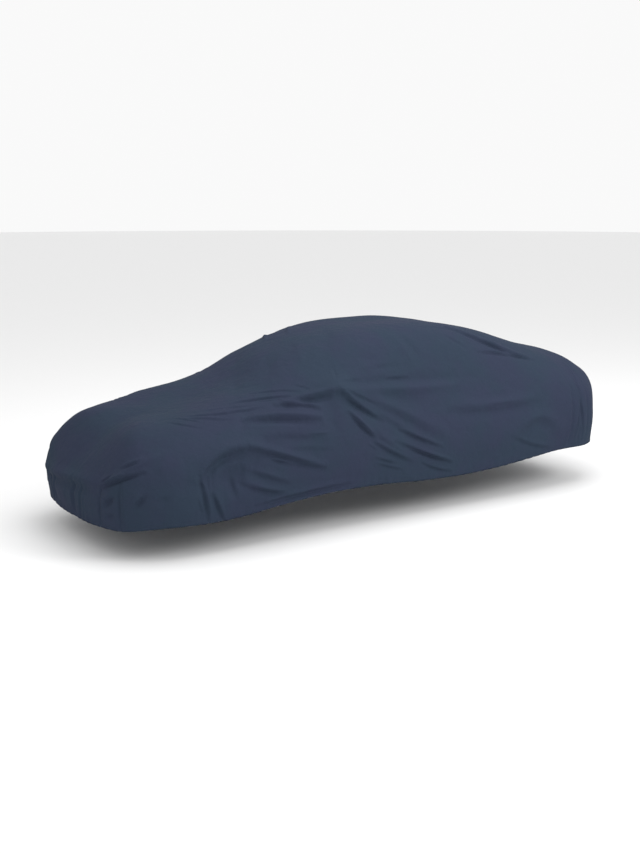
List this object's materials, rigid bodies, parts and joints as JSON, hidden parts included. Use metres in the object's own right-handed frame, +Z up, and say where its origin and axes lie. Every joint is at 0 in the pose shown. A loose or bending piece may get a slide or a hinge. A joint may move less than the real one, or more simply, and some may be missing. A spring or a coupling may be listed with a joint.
{
  "type": "fitted car cover",
  "caption": "Fitted stretch cover of thin cloth in the shape it takes over a saloon car, open underneath, with an elastic hem.",
  "frame": {"origin": "point on the underside of the cloth at the top of the roof, where the car holds the cover up", "axes": "+X towards the tail, -Y towards the car's left side, +Z up"},
  "size_m": [4.8822, 1.8989, 1.3065],
  "materials": {
    "cloth": "matt slate-navy stretch cloth"
  },
  "bodies": {
    "root": {"cover_cloth": "cloth"}
  },
  "joints": []
}
